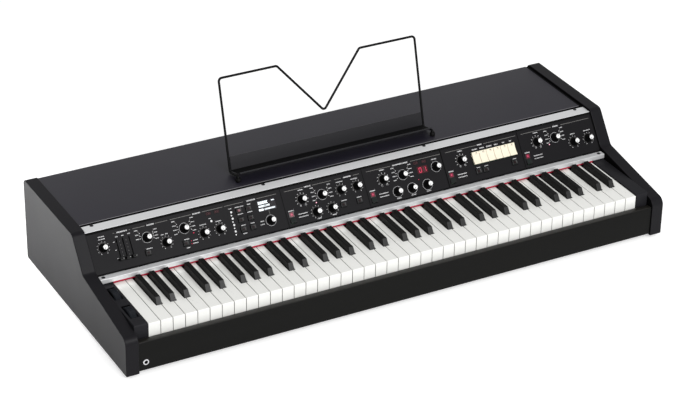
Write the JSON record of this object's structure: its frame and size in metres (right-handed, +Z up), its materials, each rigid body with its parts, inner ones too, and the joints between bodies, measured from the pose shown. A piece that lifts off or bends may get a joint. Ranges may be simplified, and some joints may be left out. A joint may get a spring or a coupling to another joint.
{
  "type": "stage piano",
  "caption": "Stage piano with a hinged-key keyboard, sloping control panel with knobs and tabs, two wheels and a bent-wire music stand.",
  "frame": {"origin": "on the floor under the middle of the case: the bottom centre of the bounding box", "axes": "+X along the keyboard towards the treble, +Y away from the player, +Z up"},
  "size_m": [1.1132, 0.458, 0.3469],
  "materials": {
    "side_panel": "satin black lacquer",
    "rail": "satin black",
    "black_sheet": "fine textured black powder coat",
    "control_plate": "matt dark grey with white print",
    "aluminium_trim": "brushed along its length, clear anodised",
    "steel": "zinc plated",
    "chrome": "polished",
    "white_key": "smooth",
    "black_key": "satin",
    "black_plastic": "fine grained",
    "knob": "soft matt with a pale cap",
    "cream_plastic": "smooth",
    "felt": "wool felt",
    "rubber": "matt",
    "circuit_board": "solder mask"
  },
  "bodies": {
    "case": {"bottom_board": "black_sheet", "control_board": "circuit_board", "control_plate": "control_plate", "front_rail": "rail", "headphone_socket": "chrome", "key_felt": "felt", "key_frame": "steel", "left_key_block": "black_plastic", "left_side_panel": "side_panel", "lower_trim_bar": "aluminium_trim", "music_stand_frame": "black_sheet", "music_stand_shelf": "black_sheet", "power_supply": "steel", "rear_connectors": "steel", "rear_panel": "black_sheet", "right_key_block": "black_plastic", "right_side_panel": "side_panel", "rubber_foot_front_left": "rubber", "rubber_foot_front_right": "rubber", "rubber_foot_rear_left": "rubber", "rubber_foot_rear_right": "rubber", "top_cover": "black_sheet", "upper_trim_bar": "aluminium_trim"},
    "main_knob_1": {"main_knob_1": "knob"},
    "main_selector_1": {"main_selector_1": "knob"},
    "main_knob_2": {"main_knob_2": "knob"},
    "main_selector_2": {"main_selector_2": "knob"},
    "main_knob_3": {"main_knob_3": "knob"},
    "main_knob_4": {"main_knob_4": "knob"},
    "menu_encoder": {"menu_encoder": "knob"},
    "module_1_knob_1": {"module_1_knob_1": "knob"},
    "module_1_selector": {"module_1_selector": "knob"},
    "module_1_knob_2": {"module_1_knob_2": "knob"},
    "module_1_knob_3": {"module_1_knob_3": "knob"},
    "module_1_knob_4": {"module_1_knob_4": "knob"},
    "module_1_knob_5": {"module_1_knob_5": "knob"},
    "module_2_knob_1": {"module_2_knob_1": "knob"},
    "module_2_selector": {"module_2_selector": "knob"},
    "module_2_encoder": {"module_2_encoder": "knob"},
    "module_2_knob_2": {"module_2_knob_2": "knob"},
    "module_2_knob_3": {"module_2_knob_3": "knob"},
    "module_2_knob_4": {"module_2_knob_4": "knob"},
    "module_3_knob": {"module_3_knob": "knob"},
    "module_4_knob_1": {"module_4_knob_1": "knob"},
    "module_4_selector": {"module_4_selector": "knob"},
    "module_4_knob_2": {"module_4_knob_2": "knob"},
    "module_4_knob_3": {"module_4_knob_3": "knob"},
    "white_keys_c_e_g_b": {"white_keys_c_e_g_b": "white_key"},
    "white_keys_d_f_a": {"white_keys_d_f_a": "white_key"},
    "black_keys": {"black_keys": "black_key"},
    "pitch_wheel": {"pitch_wheel": "black_plastic"},
    "mod_wheel": {"mod_wheel": "black_plastic"},
    "module_rocker_1": {"module_rocker_1": "black_plastic"},
    "module_rocker_2": {"module_rocker_2": "black_plastic"},
    "module_rocker_3": {"module_rocker_3": "black_plastic"},
    "module_rocker_4": {"module_rocker_4": "black_plastic"},
    "tab_switches": {"tab_switches": "cream_plastic"},
    "slider_caps": {"slider_caps": "black_plastic"},
    "push_buttons": {"push_buttons": "black_plastic"},
    "power_switch": {"power_switch": "black_plastic"}
  },
  "joints": [
    {"name": "main_knob_1_turn", "type": "hinge", "parent": "case", "child": "main_knob_1", "pos_m": [-0.50536, -0.02014, 0.14255], "axis": [0, 0.808, -0.5892], "range_deg": [0, 300]},
    {"name": "main_selector_1_turn", "type": "hinge", "parent": "case", "child": "main_selector_1", "pos_m": [-0.42075, -0.02014, 0.14255], "axis": [0, 0.808, -0.5892], "range_deg": [-120, 150]},
    {"name": "main_knob_2_turn", "type": "hinge", "parent": "case", "child": "main_knob_2", "pos_m": [-0.38696, -0.0301, 0.1289], "axis": [0, 0.808, -0.5892], "range_deg": [0, 300]},
    {"name": "main_selector_2_turn", "type": "hinge", "parent": "case", "child": "main_selector_2", "pos_m": [-0.34785, -0.02014, 0.14255], "axis": [0, 0.808, -0.5892], "range_deg": [-150, 120]},
    {"name": "main_knob_3_turn", "type": "hinge", "parent": "case", "child": "main_knob_3", "pos_m": [-0.31267, -0.0301, 0.1289], "axis": [0, 0.808, -0.5892], "range_deg": [0, 300]},
    {"name": "main_knob_4_turn", "type": "hinge", "parent": "case", "child": "main_knob_4", "pos_m": [-0.28068, -0.0301, 0.1289], "axis": [0, 0.808, -0.5892], "range_deg": [0, 300]},
    {"name": "menu_encoder_turn", "type": "hinge", "parent": "case", "child": "menu_encoder", "pos_m": [-0.18045, -0.03405, 0.12348], "axis": [0, 0.808, -0.5892], "continuous": true},
    {"name": "module_1_knob_1_turn", "type": "hinge", "parent": "case", "child": "module_1_knob_1", "pos_m": [-0.11015, -0.02014, 0.14255], "axis": [0, 0.808, -0.5892], "range_deg": [0, 300]},
    {"name": "module_1_selector_turn", "type": "hinge", "parent": "case", "child": "module_1_selector", "pos_m": [-0.06824, -0.02014, 0.14255], "axis": [0, 0.808, -0.5892], "range_deg": [-60, 90]},
    {"name": "module_1_knob_2_turn", "type": "hinge", "parent": "case", "child": "module_1_knob_2", "pos_m": [-0.02834, -0.02014, 0.14255], "axis": [0, 0.808, -0.5892], "range_deg": [0, 300]},
    {"name": "module_1_knob_3_turn", "type": "hinge", "parent": "case", "child": "module_1_knob_3", "pos_m": [0.00525, -0.02014, 0.14255], "axis": [0, 0.808, -0.5892], "range_deg": [0, 300]},
    {"name": "module_1_knob_4_turn", "type": "hinge", "parent": "case", "child": "module_1_knob_4", "pos_m": [-0.08725, -0.03711, 0.11928], "axis": [0, 0.808, -0.5892], "range_deg": [0, 300]},
    {"name": "module_1_knob_5_turn", "type": "hinge", "parent": "case", "child": "module_1_knob_5", "pos_m": [-0.05505, -0.03711, 0.11928], "axis": [0, 0.808, -0.5892], "range_deg": [0, 300]},
    {"name": "module_2_knob_1_turn", "type": "hinge", "parent": "case", "child": "module_2_knob_1", "pos_m": [0.06086, -0.02014, 0.14255], "axis": [0, 0.808, -0.5892], "range_deg": [0, 300]},
    {"name": "module_2_selector_turn", "type": "hinge", "parent": "case", "child": "module_2_selector", "pos_m": [0.10256, -0.02014, 0.14255], "axis": [0, 0.808, -0.5892], "range_deg": [-90, 60]},
    {"name": "module_2_encoder_turn", "type": "hinge", "parent": "case", "child": "module_2_encoder", "pos_m": [0.17478, -0.02014, 0.14255], "axis": [0, 0.808, -0.5892], "continuous": true},
    {"name": "module_2_knob_2_turn", "type": "hinge", "parent": "case", "child": "module_2_knob_2", "pos_m": [0.08357, -0.03711, 0.11928], "axis": [0, 0.808, -0.5892], "range_deg": [0, 300]},
    {"name": "module_2_knob_3_turn", "type": "hinge", "parent": "case", "child": "module_2_knob_3", "pos_m": [0.11485, -0.03711, 0.11928], "axis": [0, 0.808, -0.5892], "range_deg": [0, 300]},
    {"name": "module_2_knob_4_turn", "type": "hinge", "parent": "case", "child": "module_2_knob_4", "pos_m": [0.14758, -0.03711, 0.11928], "axis": [0, 0.808, -0.5892], "range_deg": [0, 300]},
    {"name": "module_3_knob_turn", "type": "hinge", "parent": "case", "child": "module_3_knob", "pos_m": [0.23055, -0.02014, 0.14255], "axis": [0, 0.808, -0.5892], "range_deg": [0, 300]},
    {"name": "module_4_knob_1_turn", "type": "hinge", "parent": "case", "child": "module_4_knob_1", "pos_m": [0.39975, -0.02014, 0.14255], "axis": [0, 0.808, -0.5892], "range_deg": [0, 300]},
    {"name": "module_4_selector_turn", "type": "hinge", "parent": "case", "child": "module_4_selector", "pos_m": [0.44096, -0.02014, 0.14255], "axis": [0, 0.808, -0.5892], "range_deg": [-60, 60]},
    {"name": "module_4_knob_2_turn", "type": "hinge", "parent": "case", "child": "module_4_knob_2", "pos_m": [0.47945, -0.0301, 0.1289], "axis": [0, 0.808, -0.5892], "range_deg": [0, 300]},
    {"name": "module_4_knob_3_turn", "type": "hinge", "parent": "case", "child": "module_4_knob_3", "pos_m": [0.51236, -0.0301, 0.1289], "axis": [0, 0.808, -0.5892], "range_deg": [0, 300]},
    {"name": "white_keys_c_e_g_b_turn", "type": "hinge", "parent": "case", "child": "white_keys_c_e_g_b", "pos_m": [0, 0.005, 0.075], "axis": [1, 0, 0], "range_deg": [0, 2.65], "stiffness_Nm_per_rad": 25, "springref_deg": -10},
    {"name": "white_keys_d_f_a_turn", "type": "hinge", "parent": "case", "child": "white_keys_d_f_a", "pos_m": [0, 0.005, 0.075], "axis": [1, 0, 0], "range_deg": [0, 2.65], "stiffness_Nm_per_rad": 25, "springref_deg": -10},
    {"name": "black_keys_turn", "type": "hinge", "parent": "case", "child": "black_keys", "pos_m": [0, 0.005, 0.075], "axis": [1, 0, 0], "range_deg": [0, 2.65], "stiffness_Nm_per_rad": 25, "springref_deg": -10},
    {"name": "pitch_wheel_turn", "type": "hinge", "parent": "case", "child": "pitch_wheel", "pos_m": [-0.51855, -0.0965, 0.0715], "axis": [-1, 0, 0], "range_deg": [-45, 45], "stiffness_Nm_per_rad": 0.02},
    {"name": "mod_wheel_turn", "type": "hinge", "parent": "case", "child": "mod_wheel", "pos_m": [-0.51855, -0.163, 0.0715], "axis": [-1, 0, 0], "range_deg": [0, 90]},
    {"name": "module_rocker_1_turn", "type": "hinge", "parent": "case", "child": "module_rocker_1", "pos_m": [-0.13815, -0.03537, 0.11913], "axis": [1, 0, 0], "range_deg": [0, 13]},
    {"name": "module_rocker_2_turn", "type": "hinge", "parent": "case", "child": "module_rocker_2", "pos_m": [0.03185, -0.03537, 0.11913], "axis": [1, 0, 0], "range_deg": [0, 13]},
    {"name": "module_rocker_3_turn", "type": "hinge", "parent": "case", "child": "module_rocker_3", "pos_m": [0.20185, -0.03537, 0.11913], "axis": [1, 0, 0], "range_deg": [0, 13]},
    {"name": "module_rocker_4_turn", "type": "hinge", "parent": "case", "child": "module_rocker_4", "pos_m": [0.37185, -0.03537, 0.11913], "axis": [1, 0, 0], "range_deg": [0, 13]},
    {"name": "tab_switches_turn", "type": "hinge", "parent": "case", "child": "tab_switches", "pos_m": [0.3012, -0.0145, 0.14265], "axis": [1, 0, 0], "range_deg": [0, 4], "stiffness_Nm_per_rad": 0.5, "springref_deg": -5.73},
    {"name": "slider_caps_slide", "type": "slide", "parent": "case", "child": "slider_caps", "axis": [0, 0.5892, 0.808], "range_m": [0, 0.034]},
    {"name": "push_buttons_slide", "type": "slide", "parent": "case", "child": "push_buttons", "axis": [0, 0.808, -0.5892], "range_m": [0, 0.0005], "stiffness_N_per_m": 2000, "springref_m": -0.001},
    {"name": "power_switch_turn", "type": "hinge", "parent": "case", "child": "power_switch", "pos_m": [-0.424, 0.2224, 0.085], "axis": [-1, 0, 0], "range_deg": [0, 16]}
  ]
}
